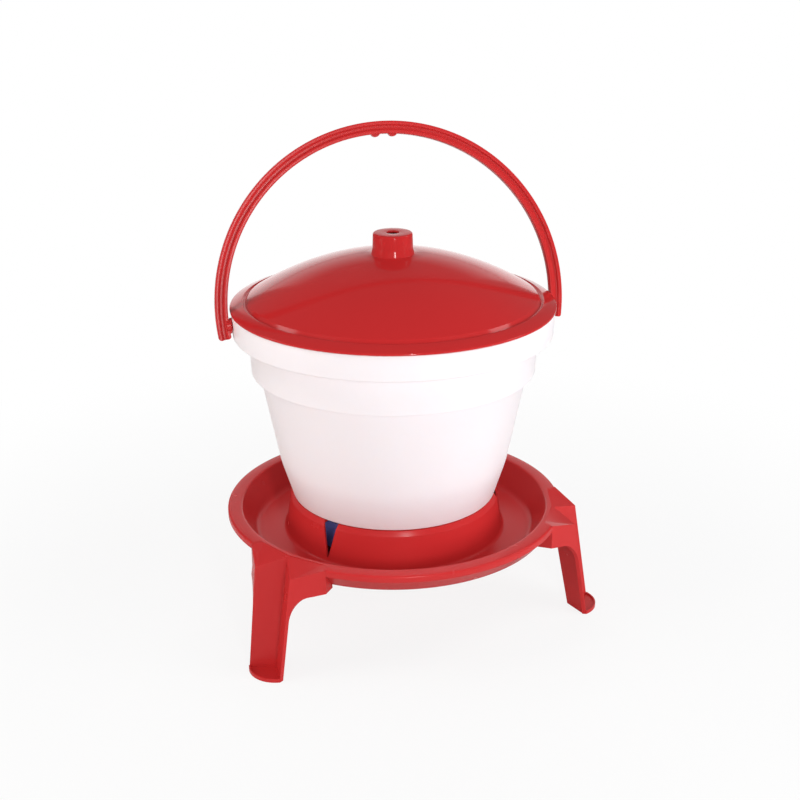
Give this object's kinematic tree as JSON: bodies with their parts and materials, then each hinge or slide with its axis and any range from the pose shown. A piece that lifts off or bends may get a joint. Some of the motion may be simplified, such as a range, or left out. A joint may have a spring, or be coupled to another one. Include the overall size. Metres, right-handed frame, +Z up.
{
  "type": "poultry drinking bucket",
  "caption": "Lidded water bucket with a carrying handle, seated on a round legged drinking tray that a float valve under the bucket keeps filled.",
  "frame": {"origin": "on the bucket's axis, at the flat underside of the drinking tray", "axes": "+Z up along the bucket's axis; +X to the right and -Y towards the viewer in the picture's view"},
  "size_m": [0.4234, 0.4122, 0.5474],
  "materials": {
    "red_plastic": "moulded, glossy",
    "white_plastic": "moulded, satin, slightly translucent",
    "pale_valve_plastic": "moulded, satin",
    "blue_plastic": "moulded, satin",
    "black_rubber": "matt",
    "stainless_steel": "drawn"
  },
  "bodies": {
    "drinker": {"drinking_tray": "red_plastic", "bucket": "white_plastic", "lid": "red_plastic", "valve_body": "pale_valve_plastic", "valve_gasket": "black_rubber", "valve_nut": "pale_valve_plastic", "float_pin": "stainless_steel"},
    "handle": {"carrying_handle": "red_plastic"},
    "float": {"float": "blue_plastic", "float_seal": "black_rubber"}
  },
  "joints": [
    {"name": "handle_swing", "type": "hinge", "parent": "drinker", "child": "handle", "pos_m": [0, 0, 0.2528], "axis": [0.9767, 0.2147, 0], "range_deg": [-117, 142]},
    {"name": "float_pivot", "type": "hinge", "parent": "drinker", "child": "float", "pos_m": [0.0106, 0.01454, 0.0296], "axis": [-0.808, 0.5892, 0], "range_deg": [0, 3.6]}
  ]
}
